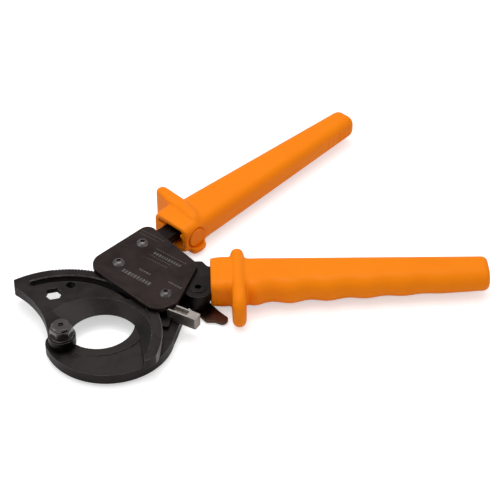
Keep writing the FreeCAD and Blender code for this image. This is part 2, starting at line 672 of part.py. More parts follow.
def moving_grip():
    half = COLLAR_W / 2
    collar = loft([section(LOWER_MOUTH_X, -half, half, COLLAR_T, 4.0),
                   section(LOWER_MOUTH_X + 1.0, -half - 0.3, half + 0.3, COLLAR_T + 0.4, 4.4),
                   section(LOWER_GUARD_X + 1.0, -half - 0.3, half + 0.3, COLLAR_T + 0.4, 5.0)])
    guard = rounded_disc(LOWER_GUARD_X, -half - 21.0, half + 9.0, 2 * GUARD_HALF, 9.5, GUARD_T)
    first, last = LOWER_GUARD_X + 9.0, LOWER_END_X - LOWER_CAP_L
    count = round(4 * (last - first) / FINGER_PITCH)

    def across(x, inset=0.0):
        k = (x - first) / (LOWER_END_X - first)
        return section(x, -half - 3.6 + 7.2 * k + finger_wave(x) + inset, half + 0.4 - 2.8 * k - inset,
                       GRIP_T - 2.4 * k - 2 * inset, 6.8 - inset, 8.6 - inset)

    root = section(LOWER_GUARD_X + 1.5, -half - 3.8, half + 0.4, GRIP_T, 6.5, 8.6)
    body = loft([root] + [across(first + (last - first) * i / count) for i in range(count + 1)])
    cap = loft([across(last), across(last + 2.2, 0.1), across(last + 4.0, 1.0), across(LOWER_END_X, 2.8)])
    grip = collar.fuse([guard, body, cap])
    grip = to_handle(grip, (0, HANDLE_AXIS_Y), 0)
    return grip.cut(handle_tang())


def hub_bush():
    return ring(HUB, HUB_PIN_R + FIT, HUB_PIN_R + FIT + HUB_BUSH_WALL, Z_BLADE, Z_BLADE_TOP)


def hub_pin():
    """Pin through the lock lever, the lug, the bush and the ear, with a low head on top."""
    z_head = Z_BLADE_TOP + SIDE_GAP
    z_low = LOCK_LEVER_Z - RETAINER_T
    shank = cylinder(HUB, HUB_PIN_R, z_low, z_head)
    head = cylinder(HUB, PIN_HEAD_R, z_head, z_head + PIN_HEAD_T)
    neck = ring(HUB, HUB_PIN_R - PIN_NECK, HUB_PIN_R + PAST, z_low - PAST, LOCK_LEVER_Z)
    hollow = cylinder(HUB, PIN_HOLE_R, Z_BLADE_TOP - 4.0, z_head + PIN_HEAD_T + PAST)
    return shank.fuse(head).cut(neck).cut(hollow)


def hub_ring():
    """Split retaining ring on the pin's neck, under the lock lever."""
    z0 = LOCK_LEVER_Z - RETAINER_T
    body = ring(HUB, HUB_PIN_R - PIN_NECK, RING_R, z0, LOCK_LEVER_Z - 0.1)
    return body.cut(prism(sector(HUB, 75.0, 105.0), z0 - PAST, Z_JAW))


def handle_spring():
    """Flat coil in the ear's pocket that opens the handles; one leg stands in the lug."""
    z0 = Z_BLADE + 0.1
    coil = ring(HUB, SPRING_R - SPRING_WIRE_R, SPRING_R + SPRING_WIRE_R, z0, z0 + 2 * SPRING_WIRE_R)
    leg = cylinder(spring_foot(), SPRING_LEG_R, Z_SHEAR - SPRING_LEG + 0.2, z0 + SPRING_WIRE_R)
    return coil.fuse(leg)


def spring_foot():
    return hub_polar(SPRING_R, SPRING_FOOT_DEG)


# ---- pawls and levers ---------------------------------------------------------------------------

def drive_pawl():
    """Strut from its pin to the teeth; the nose stands just clear of the tooth tips."""
    pin = pawl_pin_place()
    nose = nose_place()
    length = hypot(nose[0] - pin[0], nose[1] - pin[1])
    ux, uy = (nose[0] - pin[0]) / length, (nose[1] - pin[1]) / length
    z0, z1 = Z_HALF + HALF_GAP, Z_BLADE_TOP
    half = PAWL_W / 2
    beak_l = 6.0

    def local(u, v):
        return (nose[0] - u * ux + v * uy, nose[1] - u * uy - v * ux)

    # v is positive on the side of the teeth
    body = prism(strip(pin, local(beak_l, 0), PAWL_HUB_R - 0.1, half), z0, z1)
    tip = polygon([local(0, 0.4), local(0.6, -1.6), local(beak_l, -half), local(beak_l, half)])
    pawl = body.fuse(prism(tip, z0, z1)).removeSplitter()
    pawl = pawl.cut(cylinder(pin, PAWL_PIN_R + FIT, z0 - PAST, z1 + PAST))
    coil_room = cylinder(pin, PAWL_PIN_R + 2 * PAWL_WIRE_R + 0.25, z1 - 3 * PAWL_WIRE_R, z1 + PAST)
    return pawl.cut(coil_room)


def drive_pawl_pin():
    return cylinder(pawl_pin_place(), PAWL_PIN_R, Z_BLADE, Z_BLADE_TOP)


def drive_pawl_spring():
    """Coil wound on the pawl's pin, in a pocket of the pawl, that presses the nose to the teeth."""
    pin = pawl_pin_place()
    return Part.makeTorus(PAWL_PIN_R + PAWL_WIRE_R, PAWL_WIRE_R, vec(pin[0], pin[1], Z_BLADE_TOP - 0.55))


def hold_bush():
    return ring(SCREW_3, SCREW_R, HOLD_BUSH_R, Z_SHEAR, Z_PLATE)


def holding_pawl():
    """Pawl on the frame that stops the blade from opening between strokes."""
    z0, z1 = Z_BLADE, Z_HOLD_TOP
    nose = polar(TOOTH_R + NOSE_GAP, HOLD_NOSE_DEG)
    body = prism(hold_body(), z0, z1)
    beak = prism(polygon([nose, (nose[0] + 4.4, nose[1] + 0.2), (nose[0] + 4.6, nose[1] + 5.0),
                          (nose[0] + 0.6, nose[1] + 5.0)]), z0, z1)
    pawl = body.fuse([beak, prism(hold_tail(), z0, z1)])
    pawl = pawl.cut(cylinder((0, 0), TOOTH_R + NOSE_GAP, z0 - PAST, z1 + PAST))
    pawl = pawl.cut(cylinder(SCREW_3, HOLD_BUSH_R + FIT, z0 - PAST, z1 + PAST))
    for u in RIVET_PLACES:
        pawl = pawl.cut(cylinder(lever_place(u), RIVET_R, z0 - PAST, z1 + PAST))
    return pawl


def hold_body(spread=0.0):
    """Outline of the pawl from its hub to its nose."""
    nose = polar(TOOTH_R + NOSE_GAP, HOLD_NOSE_DEG)
    return strip(SCREW_3, (nose[0] + 2.4, nose[1] + 1.2), HOLD_HUB_R + spread, 2.2 + spread)


def hold_tail(spread=0.0):
    """Outline of the pawl's tail, which the release lever is riveted to."""
    return strip(SCREW_3, lever_place(5.0, 0.5), 4.4 + spread, LEVER_TAIL_R + spread)


def lever_place(u, v=0.0):
    c, s = cos(radians(LEVER_DEG)), sin(radians(LEVER_DEG))
    return (LEVER_ROOT[0] + u * c - v * s, LEVER_ROOT[1] + u * s + v * c)


def release_lever():
    """Folded channel, open on top as far as its bridge, riveted to the holding pawl."""
    z_floor = Z_HOLD_TOP
    z_top = Z_BLADE + LEVER_H
    w = LEVER_W / 2
    inner = w - LEVER_WALL
    bridge = LEVER_L - LEVER_BRIDGE
    outer = prism(rounded_wire([
        lever_place(-2.0, -w) + (0.8,), lever_place(LEVER_L, -w) + (0.9,), lever_place(LEVER_L, w) + (0.9,),
        lever_place(-2.0, w) + (0.8,)]), Z_BLADE, z_top)
    channel = prism(rounded_wire([
        lever_place(-3.0, -inner) + (0,), lever_place(bridge, -inner) + (0.6,),
        lever_place(bridge, inner) + (0.6,), lever_place(-3.0, inner) + (0,)]),
        z_floor + LEVER_FLOOR_T, z_top + PAST)
    # under its floor the channel makes room for the pawl, but its near wall runs on down past it
    near_wall = prism(polygon([
        lever_place(-3.0, -w - PAST), lever_place(LEVER_L, -w - PAST),
        lever_place(LEVER_L, -inner), lever_place(-3.0, -inner)]), Z_BLADE - PAST, z_floor)
    tail_room = prism(hold_tail(4.0), Z_BLADE - PAST, z_floor).cut(near_wall)
    tail_room = tail_room.fuse(prism(hold_body(FIT), Z_BLADE - PAST, z_floor))
    under_plate = prism(rounded_wire(plate_corners(-LEVER_TO_PLATE)), Z_BLADE_TOP - 0.1, z_top + PAST)
    lever = outer.cut(channel).cut(tail_room).cut(under_plate)
    for u in RIVET_PLACES:
        lever = lever.cut(cylinder(lever_place(u), RIVET_R, z_floor - PAST, z_floor + LEVER_FLOOR_T + 0.1))
    return lever


def release_rivets():
    z0, z1 = Z_BLADE, Z_HOLD_TOP + LEVER_FLOOR_T
    rivets = []
    for u in RIVET_PLACES:
        shank = cylinder(lever_place(u), RIVET_R, z0, z1)
        rivets.append(shank.fuse(cylinder(lever_place(u), RIVET_HEAD_R, z1, z1 + RIVET_HEAD_T)))
    return Part.makeCompound(rivets)


def holding_pawl_spring():
    """Flat coil wound on the pawl's bush, above the holding pawl."""
    z = Z_HOLD_TOP + HOLD_WIRE_R + 0.2
    r = HOLD_BUSH_R + HOLD_WIRE_R
    coil = Part.makeTorus(r, HOLD_WIRE_R, vec(SCREW_3[0], SCREW_3[1], z))
    leg = Part.makeCylinder(HOLD_WIRE_R, HOLD_WIRE_LEG, vec(SCREW_3[0] + r, SCREW_3[1], z), vec(0, 1, 0))
    return coil.fuse(leg)


def lock_lever():
    """Flat lever under the hub that locks the handles closed."""
    z0, z1 = LOCK_LEVER_Z, LOCK_LEVER_Z + LOCK_LEVER_T
    hub = cylinder(HUB, LOCK_HUB_R, z0, z1)
    tip = hub_polar(LOCK_LEVER_L, LOCK_LEVER_DEG)
    blade = prism(rounded_wire([
        (HUB[0] - 5.0, HUB[1] - 4.0, 0), (84.4, 29.4, 5.0), (88.6, 23.4, 3.0), (94.0, 23.2, 4.0),
        (tip[0] - 1.4, tip[1] - 4.2, 2.8), (tip[0] + 1.8, tip[1] + 0.8, 2.6), (97.0, 32.0, 9.0),
        (HUB[0] + 6.0, HUB[1] + 2.0, 0)]), z0, z1)
    lever = hub.fuse(blade).removeSplitter()
    return lever.cut(cylinder(HUB, HUB_PIN_R + FIT, z0 - PAST, z1 + PAST))


# ---- output -------------------------------------------------------------------------------------

PARTS = [
    fixed_jaw, cover_plate, cover_screws, moving_blade, blade_bush, pivot_bolt, pivot_washer, pivot_nut,
    lock_screw, fixed_arm, fixed_grip, grip_cap, handle_tang, moving_grip, hub_bush, hub_pin, hub_ring,
    handle_spring, drive_pawl, drive_pawl_pin, drive_pawl_spring, hold_bush, holding_pawl, release_lever,
    release_rivets, holding_pawl_spring, lock_lever,
]

os.makedirs("parts", exist_ok=True)
for make in PARTS:
    shape = make()
    name = make.__name__
    shape.exportStep("parts/" + name + ".step")
    print(name, "solids", len(shape.Solids), "valid", shape.isValid(), "volume", round(shape.Volume, 1))
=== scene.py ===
import math
import random

import bpy
from mathutils import Matrix, Vector


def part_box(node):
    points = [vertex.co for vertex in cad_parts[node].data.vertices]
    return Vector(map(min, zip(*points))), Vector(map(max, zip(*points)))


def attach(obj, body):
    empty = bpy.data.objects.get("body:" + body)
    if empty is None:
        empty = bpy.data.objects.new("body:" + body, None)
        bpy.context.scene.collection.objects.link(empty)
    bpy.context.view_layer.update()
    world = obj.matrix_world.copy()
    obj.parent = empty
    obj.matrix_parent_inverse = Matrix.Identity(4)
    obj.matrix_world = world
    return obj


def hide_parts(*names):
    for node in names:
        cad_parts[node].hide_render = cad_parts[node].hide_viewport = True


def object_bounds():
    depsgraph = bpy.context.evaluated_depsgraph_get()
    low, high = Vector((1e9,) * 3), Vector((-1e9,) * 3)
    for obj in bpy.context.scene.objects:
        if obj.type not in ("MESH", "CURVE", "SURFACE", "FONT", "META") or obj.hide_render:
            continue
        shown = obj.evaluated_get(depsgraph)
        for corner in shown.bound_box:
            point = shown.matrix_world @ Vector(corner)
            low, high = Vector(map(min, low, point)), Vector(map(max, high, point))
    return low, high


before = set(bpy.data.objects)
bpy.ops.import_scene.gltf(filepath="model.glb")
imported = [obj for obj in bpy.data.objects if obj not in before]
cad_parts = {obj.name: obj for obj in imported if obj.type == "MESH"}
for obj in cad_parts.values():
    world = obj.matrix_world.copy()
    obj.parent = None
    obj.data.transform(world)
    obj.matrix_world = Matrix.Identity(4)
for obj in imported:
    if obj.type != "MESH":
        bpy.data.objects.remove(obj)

bl_info = {
    "name": "Ratchet Cable Cutter",
    "version": (1, 0, 0),
    "blender": (4, 5, 0),
    "location": "View3D > Sidebar > Cutter",
    "description": "Finishes and soft parts of a one-hand ratchet cable cutter",
    "category": "Object",
}

CAD_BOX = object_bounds()
MM = 0.001

# upper handle: the screw it is measured from and the direction of its axis, as in the CAD
UPPER_ROOT = Vector((48.9, 81.6, 12.7)) * MM
UPPER_TURN = math.radians(43.6)

# where the corners behind the guards lie along their handles
UPPER_CORNER = (38.5 * MM, 56.0 * MM)
LOWER_CORNER = (111.5 * MM, 122.5 * MM)

# distance at which the corners of a CAD grip's loose triangles are taken as one point
MERGE = 1e-6

# the cover plate's top face and the direction that its marks run in
PLATE_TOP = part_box("cover_plate")[1].z
MARK_TURN = math.radians(-40.0)

# rows of marks on the plate: x and y of the start, length, bar height, narrowest and widest bar (mm)
MARK_ROWS = (
    (36.5, 55.5, 23.0, 3.0, 1.2, 2.3),
    (47.2, 55.9, 9.5, 1.5, 0.9, 1.6),
    (58.0, 75.4, 24.0, 0.7, 0.5, 1.3),
    (56.4, 71.6, 22.0, 2.3, 0.9, 1.8),
    (53.6, 70.0, 17.0, 0.6, 0.5, 1.3),
    (52.4, 66.6, 15.0, 0.6, 0.5, 1.2),
    (49.0, 94.6, 18.0, 0.6, 0.5, 1.2),
    (47.2, 92.4, 15.0, 0.6, 0.5, 1.2),
    (65.6, 42.8, 9.0, 1.4, 0.8, 1.4),
)

# space between two bars and thickness of a bar (mm), and the seed that the bars' widths come from
MARK_GAP = 0.8
MARK_T = 0.03
MARK_SEED = 7

# distance from the blade's pivot past which the pawls have rubbed the rim and its tooth tips carry a
# painted highlight, and how wide the fade is
RUBBED_AND_HIGHLIT_FROM = 61.1 * MM
RUBBED_AND_HIGHLIT_FADE = 0.3 * MM

# raised marks on the upper grip's side: distance along the handle, height on it, length, width (mm)
GRIP_BARS = (
    (170.0, 0.0, 0.7, 9.0),
    (172.6, 3.6, 5.0, 0.7),
    (172.6, -3.6, 5.0, 0.7),
    (175.4, 0.0, 0.7, 9.0),
    (180.4, 0.0, 0.7, 8.0),
    (182.4, 0.0, 0.7, 8.0),
    (187.6, 0.0, 3.4, 0.7),
    (187.6, 2.4, 3.4, 0.7),
    (187.6, -2.4, 3.4, 0.7),
    (192.2, 0.0, 0.6, 9.6),
)

# where the grip's bars stand on the handle's second axis before they are laid on the skin, the
# rounding of their edges (both mm) and the cells along each of their sides
GRIP_BAR_START = -16.0
GRIP_BAR_EDGE = 0.08
GRIP_BAR_CELLS = 12

# the plug's rings, from the rim inwards: width as a share of the radius, and rise (mm); and how many
# sides its circle has
PLUG_RINGS = (
    (0.16, 0.0),
    (0.1, -0.12),
    (0.45, 0.1),
)
PLUG_SIDES = 64

# sockets of a Mix node that mixes colours
MIX_FIRST = 6
MIX_SECOND = 7
MIX_RESULT = 2


# ---- settings -----------------------------------------------------------------------------------

def colour_setting(name, description, default):
    return bpy.props.FloatVectorProperty(name=name, description=description, default=default, size=3,
                                         subtype="COLOR", min=0.0, max=1.0)


def length_setting(name, description, default):
    return bpy.props.FloatProperty(name=name, description=description, default=default,
                                   subtype="DISTANCE", unit="LENGTH")


class CutterColours(bpy.types.PropertyGroup):
    grip: colour_setting("Grip", "Colour of the insulating grips", (0.93, 0.235, 0.0015))
    grip_deep: colour_setting("Grip, deep", "Colour of the grips where the layer is thick",
                              (0.9, 0.2, 0.001))
    oxide: colour_setting("Black oxide", "Colour of the blackened steel", (0.036, 0.031, 0.0305))
    # the edge colour lightens the steel's edges as wear and as a painted edge highlight
    oxide_worn_and_highlight: colour_setting("Worn edge", "Colour of the blackened steel's edges", (0.26, 0.245, 0.235))
    plated: colour_setting("Plated lever", "Colour of the release lever", (0.38, 0.345, 0.32))
    pressed: colour_setting("Lock lever", "Colour of the lock lever", (0.11, 0.06, 0.042))
    bronze: colour_setting("Bronze", "Colour of the bushes", (0.42, 0.24, 0.09))
    floor: colour_setting("Floor", "Colour of the floor", (0.82, 0.82, 0.82))


class CutterSizes(bpy.types.PropertyGroup):
    skin_cell: length_setting("Grip cell", "Cell size that the grips are skinned with", 0.65 * MM)
    skin_rounds: bpy.props.IntProperty(name="Grip softness", default=9, min=0, max=40,
                                       description="How many times the grips' skin is evened out")
    corner_rounds: bpy.props.IntProperty(name="Corner softness", default=40, min=0, max=80,
                                         description="How often the guards' corners are evened out")
    edge_radius: length_setting("Edge radius", "Rounding that the steel's edges show", 0.28 * MM)
    plug_edge: length_setting("Plug edge", "Rounding of the plug's rim", 0.5 * MM)
    mark_height: length_setting("Mark height", "How far the grip's marks stand out", 0.2 * MM)


def colours():
    return bpy.context.scene.cutter_colours


def sizes():
    return bpy.context.scene.cutter_sizes


# ---- modelling helpers --------------------------------------------------------------------------

def drop_selection():
    if bpy.context.mode != "OBJECT":
        bpy.ops.object.mode_set(mode="OBJECT")
    bpy.ops.object.select_all(action="DESELECT")


def make_active(obj):
    drop_selection()
    obj.select_set(True)
    bpy.context.view_layer.objects.active = obj


def named(name):
    obj = bpy.context.active_object
    obj.name = name
    obj.data.name = name
    return obj


def settle(obj):
    """Puts a piece's place into its mesh, so that its object stands at the origin."""
    make_active(obj)
    bpy.ops.object.transform_apply(location=True, rotation=True, scale=True)


def join(parts, name):
    """Makes one piece of several, with its place in its mesh."""
    drop_selection()
    for part in parts:
        part.select_set(True)
    bpy.context.view_layer.objects.active = parts[0]
    bpy.ops.object.join()
    piece = named(name)
    settle(piece)
    return piece


def modify(obj, kind, **settings):
    make_active(obj)
    modifier = obj.modifiers.new(kind.lower(), kind)
    for key, value in settings.items():
        setattr(modifier, key, value)
    bpy.ops.object.modifier_apply(modifier=modifier.name)


def smooth(obj, degrees=None):
    make_active(obj)
    if degrees is None:
        bpy.ops.object.shade_smooth()
    else:
        bpy.ops.object.shade_smooth_by_angle(angle=math.radians(degrees))


def paint(obj, material):
    obj.data.materials.clear()
    obj.data.materials.append(material)


def select_faces(obj, wanted):
    """Selects, in edit mode, the faces of the object that pass the test."""
    bpy.ops.mesh.select_mode(type="FACE")
    bpy.ops.mesh.select_all(action="DESELECT")
    bpy.ops.object.mode_set(mode="OBJECT")
    for face in obj.data.polygons:
        face.select = wanted(face)
    bpy.ops.object.mode_set(mode="EDIT")


def upper_frame():
    """Matrix from the upper handle's own axes to the object's frame."""
    return Matrix.Translation(UPPER_ROOT) @ Matrix.Rotation(UPPER_TURN, 4, "Z")


# ---- node helpers -------------------------------------------------------------------------------

def new_group(name, inputs, outputs):
    """Shader node group with named sockets; inputs are (name, kind, default)."""
    tree = bpy.data.node_groups.new(name, "ShaderNodeTree")
    for title, kind, default in inputs:
        socket = tree.interface.new_socket(name=title, in_out="INPUT", socket_type="NodeSocket" + kind)
        if default is not None:
            socket.default_value = default
    for title, kind in outputs:
        tree.interface.new_socket(name=title, in_out="OUTPUT", socket_type="NodeSocket" + kind)
    return tree, tree.nodes.new("NodeGroupInput"), tree.nodes.new("NodeGroupOutput")


def add(tree, kind, values=None, links=None, **settings):
    """Adds a node: settings are its properties, values its sockets' values, links what feeds them."""
    made = tree.nodes.new("ShaderNode" + kind)
    for key, value in settings.items():
        setattr(made, key, value)
    for key, value in (values or {}).items():
        made.inputs[key].default_value = value
    for key, source in (links or {}).items():
        tree.links.new(source, made.inputs[key])
    return made


def math_node(tree, operation, first, second=None, clamp=False):
    made = add(tree, "Math", operation=operation, use_clamp=clamp)
    for place, value in enumerate((first, second)):
        if value is None:
            continue
        if isinstance(value, (int, float)):
            made.inputs[place].default_value = value
        else:
            tree.links.new(value, made.inputs[place])
    return made.outputs[0]


def spread(tree, value, from_low, from_high, to_low=0.0, to_high=1.0):
    """Spreads the values between two limits smoothly over two others."""
    made = add(tree, "MapRange", interpolation_type="SMOOTHSTEP", links={"Value": value})
    for title, amount in (("From Min", from_low), ("From Max", from_high), ("To Min", to_low),
                          ("To Max", to_high)):
        if isinstance(amount, (int, float)):
            made.inputs[title].default_value = amount
        else:
            tree.links.new(amount, made.inputs[title])
    return made.outputs[0]


def blend_colours(tree, factor, first, second):
    """Mixes two colours, each a tuple or another node's output."""
    made = add(tree, "Mix", data_type="RGBA")
    tree.links.new(factor, made.inputs["Factor"])
    for title, value in ((MIX_FIRST, first), (MIX_SECOND, second)):
        if isinstance(value, (tuple, list)):
            made.inputs[title].default_value = tuple(value)[:3] + (1.0,)
        else:
            tree.links.new(value, made.inputs[title])
    return made.outputs[MIX_RESULT]


# ---- shared effects -----------------------------------------------------------------------------

def edge_wear_and_highlight():
    """Mask of the outer edges, broken up as handling does it, and the rounded edge's normal; the mask
    paints both wear and edge highlights.
    """
    if "edge_wear_and_highlight" in bpy.data.node_groups:
        return bpy.data.node_groups["edge_wear_and_highlight"]
    tree, given, result = new_group(
        "edge_wear_and_highlight",
        [("Vector", "Vector", None), ("Radius", "Float", 0.0003), ("Breakup", "Float", 260.0)],
        [("Mask", "Float"), ("Normal", "Vector")])
    rounded = add(tree, "Bevel", samples=6, links={"Radius": given.outputs["Radius"]})
    flat = add(tree, "NewGeometry")
    facing = add(tree, "VectorMath", operation="DOT_PRODUCT")
    tree.links.new(rounded.outputs["Normal"], facing.inputs[0])
    tree.links.new(flat.outputs["True Normal"], facing.inputs[1])
    turned = math_node(tree, "SUBTRACT", 1.0, facing.outputs["Value"], clamp=True)
    edge = spread(tree, turned, from_low=0.02, from_high=0.2)
    noise = add(tree, "TexNoise", {"Detail": 4.0, "Roughness": 0.6},
                {"Vector": given.outputs["Vector"], "Scale": given.outputs["Breakup"]})
    broken = spread(tree, noise.outputs["Fac"], from_low=0.36, from_high=0.62, to_low=0.25)
    tree.links.new(math_node(tree, "MULTIPLY", edge, broken), result.inputs["Mask"])
    tree.links.new(rounded.outputs["Normal"], result.inputs["Normal"])
    return tree


def surface_grain():
    """Fine grain as a height, with wider patches as a mask and as a roughness between two limits."""
    if "surface_grain" in bpy.data.node_groups:
        return bpy.data.node_groups["surface_grain"]
    tree, given, result = new_group(
        "surface_grain",
        [("Vector", "Vector", None), ("Scale", "Float", 1800.0), ("Patches", "Float", 60.0),
         ("Smoothest", "Float", 0.3), ("Roughest", "Float", 0.5)],
        [("Height", "Float"), ("Roughness", "Float"), ("Patches", "Float")])
    fine = add(tree, "TexNoise", {"Detail": 3.0, "Roughness": 0.55},
               {"Vector": given.outputs["Vector"], "Scale": given.outputs["Scale"]})
    coarse = add(tree, "TexNoise", {"Detail": 5.0, "Roughness": 0.6, "Distortion": 0.4},
                 {"Vector": given.outputs["Vector"], "Scale": given.outputs["Patches"]})
    patch = spread(tree, coarse.outputs["Fac"], from_low=0.35, from_high=0.65)
    rough = spread(tree, coarse.outputs["Fac"], from_low=0.3, from_high=0.7,
                   to_low=given.outputs["Smoothest"], to_high=given.outputs["Roughest"])
    tree.links.new(fine.outputs["Fac"], result.inputs["Height"])
    tree.links.new(rough, result.inputs["Roughness"])
    tree.links.new(patch, result.inputs["Patches"])
    return tree


def fine_scratches():
    """Mask of hair-fine scratches that run along one direction of the given coordinates."""
    if "fine_scratches" in bpy.data.node_groups:
        return bpy.data.node_groups["fine_scratches"]
    tree, given, result = new_group(
        "fine_scratches",
        [("Vector", "Vector", None), ("Across", "Float", 2600.0), ("Along", "Float", 40.0),
         ("Amount", "Float", 0.5)],
        [("Mask", "Float")])
    scale = add(tree, "CombineXYZ", links={"X": given.outputs["Along"], "Y": given.outputs["Across"],
                                           "Z": given.outputs["Across"]})
    stretched = add(tree, "VectorMath", operation="MULTIPLY")
    tree.links.new(given.outputs["Vector"], stretched.inputs[0])
    tree.links.new(scale.outputs[0], stretched.inputs[1])
    noise = add(tree, "TexNoise", {"Scale": 1.0, "Detail": 2.0, "Roughness": 0.5},
                {"Vector": stretched.outputs[0]})
    # the more scratches are asked for, the lower the noise that already counts as one
    lowered = math_node(tree, "MULTIPLY", given.outputs["Amount"], 0.18)
    threshold = math_node(tree, "SUBTRACT", 0.78, lowered)
    lines = spread(tree, noise.outputs["Fac"], from_low=threshold, from_high=0.82)
    tree.links.new(lines, result.inputs["Mask"])
    return tree


def rubbed_and_highlit_rim():
    """Mask of what lies further than a radius from the blade's pivot: the teeth that the pawls rub,
    lightened also as a painted highlight on their tips.
    """
    if "rubbed_and_highlit_rim" in bpy.data.node_groups:
        return bpy.data.node_groups["rubbed_and_highlit_rim"]
    tree, given, result = new_group(
        "rubbed_and_highlit_rim", [("Vector", "Vector", None), ("Radius", "Float", RUBBED_AND_HIGHLIT_FROM)], [("Mask", "Float")])
    flat = add(tree, "VectorMath", operation="MULTIPLY")
    tree.links.new(given.outputs["Vector"], flat.inputs[0])
    flat.inputs[1].default_value = (1.0, 1.0, 0.0)
    reach = add(tree, "VectorMath", operation="LENGTH")
    tree.links.new(flat.outputs["Vector"], reach.inputs[0])
    outer = math_node(tree, "SUBTRACT", reach.outputs["Value"], given.outputs["Radius"])
    rubbed = spread(tree, outer, from_low=0.0, from_high=RUBBED_AND_HIGHLIT_FADE)
    tree.links.new(rubbed, result.inputs["Mask"])
    return tree


def use(tree, group, vector, **values):
    """Places a shared effect in a material, with its own values."""
    made = tree.nodes.new("ShaderNodeGroup")
    made.node_tree = group
    tree.links.new(vector, made.inputs["Vector"])
    for key, value in values.items():
        made.inputs[key].default_value = value
    return made


def new_material(name, roughness, metallic, specular=0.5):
    """Gives a material, its node tree, its shader and the coordinates that its patterns follow."""
    material = bpy.data.materials.new(name)
    material.use_nodes = True
    tree = material.node_tree
    tree.nodes.clear()
    output = add(tree, "OutputMaterial")
    shader = add(tree, "BsdfPrincipled", {"Roughness": roughness, "Metallic": metallic,
                                          "Specular IOR Level": specular})
    tree.links.new(shader.outputs[0], output.inputs["Surface"])
    place = add(tree, "TexCoord").outputs["Object"]
    return material, tree, shader, place


# ---- materials ----------------------------------------------------------------------------------

# colours that go with those of the settings: the edges of the finishes that aren't blackened, lightened as
# wear and as a painted edge highlight, the springs' wire and the plate's marks
PLATED_WORN_AND_HIGHLIGHT = (0.75, 0.72, 0.67)
PRESSED_WORN_AND_HIGHLIGHT = (0.16, 0.13, 0.12)
BRONZE_WORN_AND_HIGHLIGHT = (0.6, 0.42, 0.22)
WIRE = (0.16, 0.16, 0.165)
WIRE_WORN_AND_HIGHLIGHT = (0.4, 0.4, 0.4)
MARK = (0.14, 0.13, 0.12)
MARK_WORN_AND_HIGHLIGHT = (0.16, 0.15, 0.14)

# the blackened pieces' shades beside the common one: the plate's tint, the tang's and the screws'
PLATE_TINT = (1.1, 0.92, 0.86)
TANG_SHADE = 0.8
SCREW_SHADE = 3.0
# the blade's edge colour is lighter again, as wear and as a painted edge highlight
BLADE_WORN_AND_HIGHLIGHT_SHADE = 1.15

# how much darker the patches are, how strongly scratches and the rubbed rim with its painted highlight
# show, and how deep the grain is
PATCH_SHADE = 0.72
SCRATCH_SHARE = 0.35
RUBBED_AND_HIGHLIT_SHARE = 0.55
STEEL_GRAIN_DEPTH = 0.2 * MM
GRIP_GRAIN_DEPTH = 0.3 * MM

# direction of the brush lines on the release lever
LEVER_BRUSH = math.radians(32.0)


def shaded(colour, amount):
    return tuple(channel * amount for channel in colour)


def steel_finish(name, base, worn_and_highlight_colour, smoothest, roughest, grain=1500.0, scratches=0.0, turn=0.0,
                 bump=0.06, wear_and_highlight_amount=1.0, coat=0.0, rim=0.0):
    """Metal with grain, patches and edges lightened as wear and as a painted highlight, and on request
    scratches, a coat and a rubbed rim that also carries a painted highlight.
    """
    material, tree, shader, place = new_material(name, roughest, 1.0)
    shader.inputs["Coat Weight"].default_value = coat
    shader.inputs["Coat Roughness"].default_value = 0.14
    if turn:
        turned = add(tree, "Mapping", {"Rotation": (0.0, 0.0, turn)}, {"Vector": place})
        place = turned.outputs[0]
    edge = use(tree, edge_wear_and_highlight(), place, Radius=sizes().edge_radius)
    skin = use(tree, surface_grain(), place, Scale=grain, Smoothest=smoothest, Roughest=roughest)
    colour = blend_colours(tree, skin.outputs["Patches"], shaded(base, PATCH_SHADE), base)
    if scratches:
        lines = use(tree, fine_scratches(), place, Amount=scratches)
        faint = math_node(tree, "MULTIPLY", lines.outputs["Mask"], SCRATCH_SHARE)
        colour = blend_colours(tree, faint, colour, worn_and_highlight_colour)
    # edges lightened: wear, and a painted highlight along the edges
    amount = math_node(tree, "MULTIPLY", edge.outputs["Mask"], wear_and_highlight_amount, clamp=True)
    colour = blend_colours(tree, amount, colour, worn_and_highlight_colour)
    # the rim past the teeth's radius lightened: rubbed by the pawls, and a painted highlight on the tooth
    # tips
    if rim:
        outer = use(tree, rubbed_and_highlit_rim(), place, Radius=rim)
        faint = math_node(tree, "MULTIPLY", outer.outputs["Mask"], RUBBED_AND_HIGHLIT_SHARE)
        colour = blend_colours(tree, faint, colour, worn_and_highlight_colour)
    tree.links.new(colour, shader.inputs["Base Color"])
    tree.links.new(skin.outputs["Roughness"], shader.inputs["Roughness"])
    relief = add(tree, "Bump", {"Strength": bump, "Distance": STEEL_GRAIN_DEPTH},
                 {"Height": skin.outputs["Height"], "Normal": edge.outputs["Normal"]})
    tree.links.new(relief.outputs[0], shader.inputs["Normal"])
    return material


def grip_finish(name):
    """Insulating plastic: satin, faintly pebbled, a little deeper in colour in patches, scuffed."""
    material, tree, shader, place = new_material(name, 0.42, 0.0, 0.1)
    skin = use(tree, surface_grain(), place, Scale=1100.0, Patches=26.0, Smoothest=0.36, Roughest=0.47)
    lines = use(tree, fine_scratches(), place, Across=900.0, Along=70.0, Amount=0.25)
    deeper = math_node(tree, "MULTIPLY", skin.outputs["Patches"], 0.3)
    colour = blend_colours(tree, deeper, tuple(colours().grip), tuple(colours().grip_deep))
    pale = tuple(min(1.0, channel * 1.05 + 0.015) for channel in colours().grip)
    scuffed = math_node(tree, "MULTIPLY", lines.outputs["Mask"], 0.3)
    colour = blend_colours(tree, scuffed, colour, pale)
    tree.links.new(colour, shader.inputs["Base Color"])
    roughened = math_node(tree, "MULTIPLY", lines.outputs["Mask"], 0.12)
    rough = math_node(tree, "ADD", skin.outputs["Roughness"], roughened)
    tree.links.new(rough, shader.inputs["Roughness"])
    relief = add(tree, "Bump", {"Strength": 0.1, "Distance": GRIP_GRAIN_DEPTH},
                 {"Height": skin.outputs["Height"]})
    tree.links.new(relief.outputs[0], shader.inputs["Normal"])
    return material


